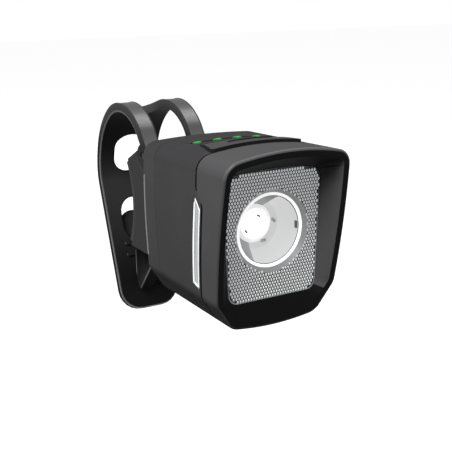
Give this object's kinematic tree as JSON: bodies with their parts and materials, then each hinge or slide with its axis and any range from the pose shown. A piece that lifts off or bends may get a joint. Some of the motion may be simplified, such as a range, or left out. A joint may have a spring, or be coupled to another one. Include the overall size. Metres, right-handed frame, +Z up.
{
  "type": "bike headlight",
  "caption": "Compact box-shaped bike headlight with a hooded lens, top button and a rubber strap and hook that hold it on a handlebar.",
  "frame": {"origin": "axis of a 31.8 mm handlebar lying in the saddle, in the lamp's middle plane", "axes": "+Z up, the lamp shines along -Y, +X along the handlebar"},
  "size_m": [0.0342, 0.0934, 0.0654],
  "materials": {
    "hood": "fine moulded texture, near black",
    "housing": "fine moulded texture, dark grey",
    "cap": "fine moulded texture, dark grey",
    "lens": "clear moulded plastic with micro prisms",
    "rubber": "soft matt rubber",
    "ring": "white plastic",
    "reflector": "satin metallised plastic",
    "hub": "clear moulded lens, bright when lit",
    "phosphor": "LED phosphor",
    "led_board": "white solder mask on aluminium",
    "aluminium": "plain pressed sheet",
    "side_window": "clear moulded plastic",
    "seal": "silicone",
    "steel": "plain steel",
    "board": "green solder mask",
    "switch": "moulded",
    "plunger": "plain",
    "indicator_led": "clear resin",
    "indicator": "green light pipe",
    "button": "soft matt rubber",
    "cell": "foil pouch",
    "tray": "moulded",
    "leads": "silicone wire",
    "ribbon": "polyimide film",
    "bracket": "fine moulded texture",
    "strap": "moulded silicone rubber"
  },
  "bodies": {
    "lamp": {"front_bezel": "hood", "rear_housing": "housing", "rear_cap": "cap", "front_lens": "lens", "lens_gasket": "rubber", "optic_ring": "ring", "reflector": "reflector", "led_hub": "hub", "led_chip": "phosphor", "led_board": "led_board", "heat_sink": "aluminium", "side_window_left": "side_window", "side_window_right": "side_window", "cap_seal": "seal", "housing_screws": "steel", "main_board": "board", "tact_switch": "switch", "indicator_leds": "indicator_led", "indicator_lenses": "indicator", "button_seal": "rubber", "battery_cell": "cell", "battery_tray": "tray", "battery_leads": "leads", "charge_board": "board", "charge_socket": "steel", "charge_ribbon": "ribbon", "cover_pin": "steel", "mount_bracket": "bracket", "bracket_screws": "steel", "saddle_pad": "rubber", "strap_pin": "steel"},
    "button": {"power_button": "button"},
    "plunger": {"switch_plunger": "plunger"},
    "cover": {"port_cover": "rubber"},
    "strap": {"strap": "strap"}
  },
  "joints": [
    {"name": "button_press", "type": "slide", "parent": "lamp", "child": "button", "axis": [0, 0, -1], "range_m": [0, 0.0004], "stiffness_N_per_m": 800},
    {"name": "plunger_press", "type": "slide", "parent": "lamp", "child": "plunger", "axis": [0, 0, -1], "range_m": [0, 0.0004], "stiffness_N_per_m": 200},
    {"name": "cover_open", "type": "hinge", "parent": "lamp", "child": "cover", "pos_m": [0, -0.0607, -0.01825], "axis": [-1, 0, 0], "range_deg": [0, 110], "stiffness_Nm_per_rad": 0.0005},
    {"name": "strap_open", "type": "hinge", "parent": "lamp", "child": "strap", "pos_m": [0, -0.0241, 0.0147], "axis": [1, 0, 0], "range_deg": [0, 75], "stiffness_Nm_per_rad": 0.08}
  ],
  "couplings": [
    {"joint": "plunger_press", "follows": "button_press", "ratio": 1}
  ]
}
